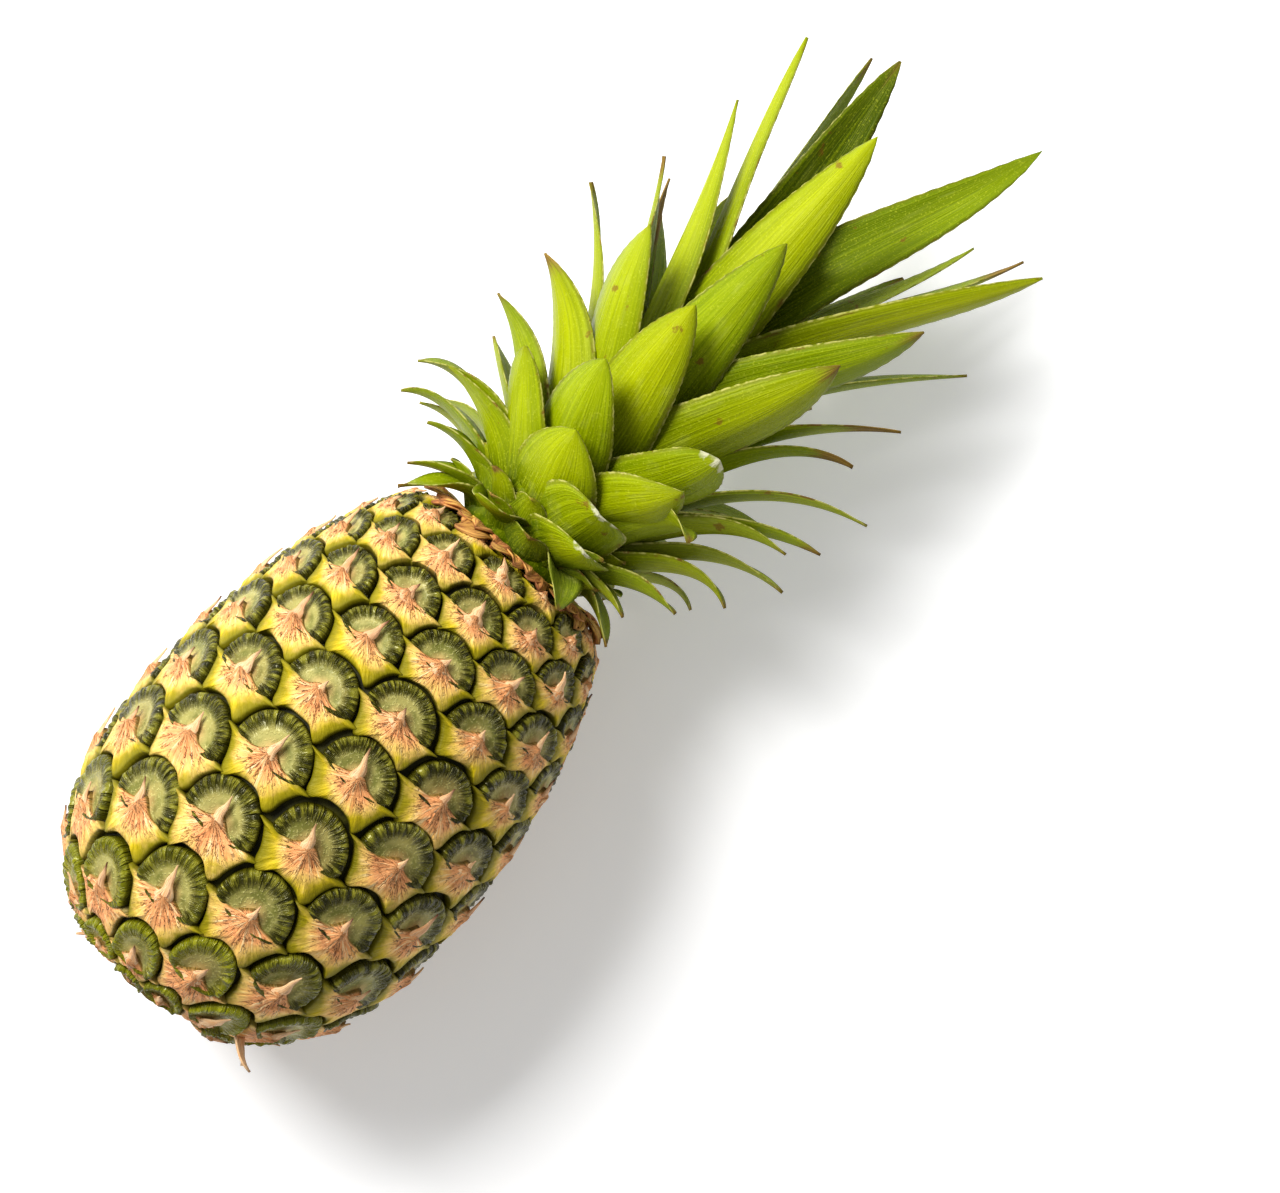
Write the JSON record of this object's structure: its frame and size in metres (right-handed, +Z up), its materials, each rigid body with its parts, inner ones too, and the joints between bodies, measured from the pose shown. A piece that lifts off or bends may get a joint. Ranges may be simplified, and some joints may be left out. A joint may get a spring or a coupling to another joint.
{
  "type": "pineapple",
  "caption": "Whole ripe pineapple lying on its side: an oval fruit with a rind of spiralling eyes and dry bract points, a papery collar and a crown of long spiky leaves.",
  "frame": {"origin": "middle of the bounding box, on the surface that the fruit lies on", "axes": "+X along the fruit from its base to its crown, +Y to the side, +Z up"},
  "size_m": [0.3704, 0.1346, 0.1184],
  "materials": {
    "rind": "waxy, yellow-green and tan with dark olive eyes",
    "cut_stalk": "dry, fibrous",
    "papery_collar": "dry, papery",
    "crown_leaf": "satin, with a pale bloom"
  },
  "bodies": {
    "root": {"fruit": "rind", "stalk": "cut_stalk", "collar": "papery_collar", "crown": "crown_leaf"}
  },
  "joints": []
}
